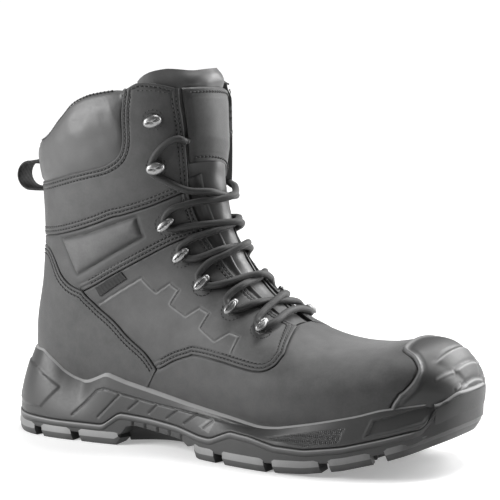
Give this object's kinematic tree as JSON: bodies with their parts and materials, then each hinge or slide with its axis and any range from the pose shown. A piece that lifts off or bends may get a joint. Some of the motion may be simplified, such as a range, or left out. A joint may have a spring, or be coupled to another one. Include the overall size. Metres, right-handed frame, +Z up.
{
  "type": "safety work boot",
  "caption": "Tall laced safety work boot with a steel toe cap, padded collar, lace loops and hooks, heel pull loop and a lugged sole.",
  "frame": {"origin": "middle of the heel on the ground, where the heel's tread rests", "axes": "+X towards the toe, +Y towards the inner side of the foot, +Z up"},
  "size_m": [0.3185, 0.1129, 0.2336],
  "materials": {
    "outsole_rubber": "matt, fine grain",
    "midsole_foam": "satin moulded polyurethane",
    "bumper_rubber": "satin moulded",
    "steel": "satin",
    "board": "matt",
    "plastic": "matt",
    "upper_leather": "nubuck, waxed",
    "lining_fabric": "knitted mesh",
    "foam": "open foam",
    "collar_leather": "smooth, soft",
    "tongue_leather": "smooth, soft",
    "webbing": "woven",
    "gunmetal": "dark nickel",
    "lace_cord": "braided",
    "footbed_foam": "brushed fabric"
  },
  "bodies": {
    "boot": {"outsole": "outsole_rubber", "midsole": "midsole_foam", "toe_bumper": "bumper_rubber", "penetration_plate": "steel", "shank": "steel", "insole_board": "board", "steel_toe_cap": "steel", "toe_cap_edge_strip": "outsole_rubber", "heel_stiffener": "plastic", "vamp": "upper_leather", "vamp_lining": "lining_fabric", "shaft_lining": "lining_fabric", "quarter_lateral": "upper_leather", "quarter_medial": "upper_leather", "heel_counter": "upper_leather", "ankle_panel_lateral": "upper_leather", "ankle_panel_medial": "upper_leather", "ankle_pad_lateral": "foam", "ankle_pad_medial": "foam", "facing_lateral": "upper_leather", "facing_medial": "upper_leather", "collar_cover": "collar_leather", "collar_padding": "foam", "tongue_lower": "tongue_leather", "gusset_lateral": "tongue_leather", "gusset_medial": "tongue_leather", "side_tag": "webbing", "lace_loops_lateral": "gunmetal", "lace_loops_medial": "gunmetal", "lace_hooks_lateral": "gunmetal", "lace_hooks_medial": "gunmetal", "washers_lateral": "steel", "washers_medial": "steel", "lace": "lace_cord", "pull_loop_anchor": "webbing"},
    "tongue": {"tongue_top": "tongue_leather", "lace_keeper": "upper_leather", "lace_tails": "lace_cord", "aglets": "plastic"},
    "insole": {"footbed": "footbed_foam"},
    "heel_pull": {"pull_loop": "webbing"}
  },
  "joints": [
    {"name": "tongue_flex", "type": "hinge", "parent": "boot", "child": "tongue", "pos_m": [0.1045, 0, 0.1765], "axis": [0, 1, 0], "range_deg": [0, 5], "stiffness_Nm_per_rad": 0.15},
    {"name": "footbed_lift", "type": "hinge", "parent": "boot", "child": "insole", "pos_m": [0.256, 0, 0.043], "axis": [0, 1, 0], "range_deg": [0, 6]},
    {"name": "pull_loop_swing", "type": "hinge", "parent": "boot", "child": "heel_pull", "pos_m": [-0.0265, 0, 0.1615], "axis": [0, 0, 1], "range_deg": [-14, 14], "stiffness_Nm_per_rad": 0.01}
  ]
}
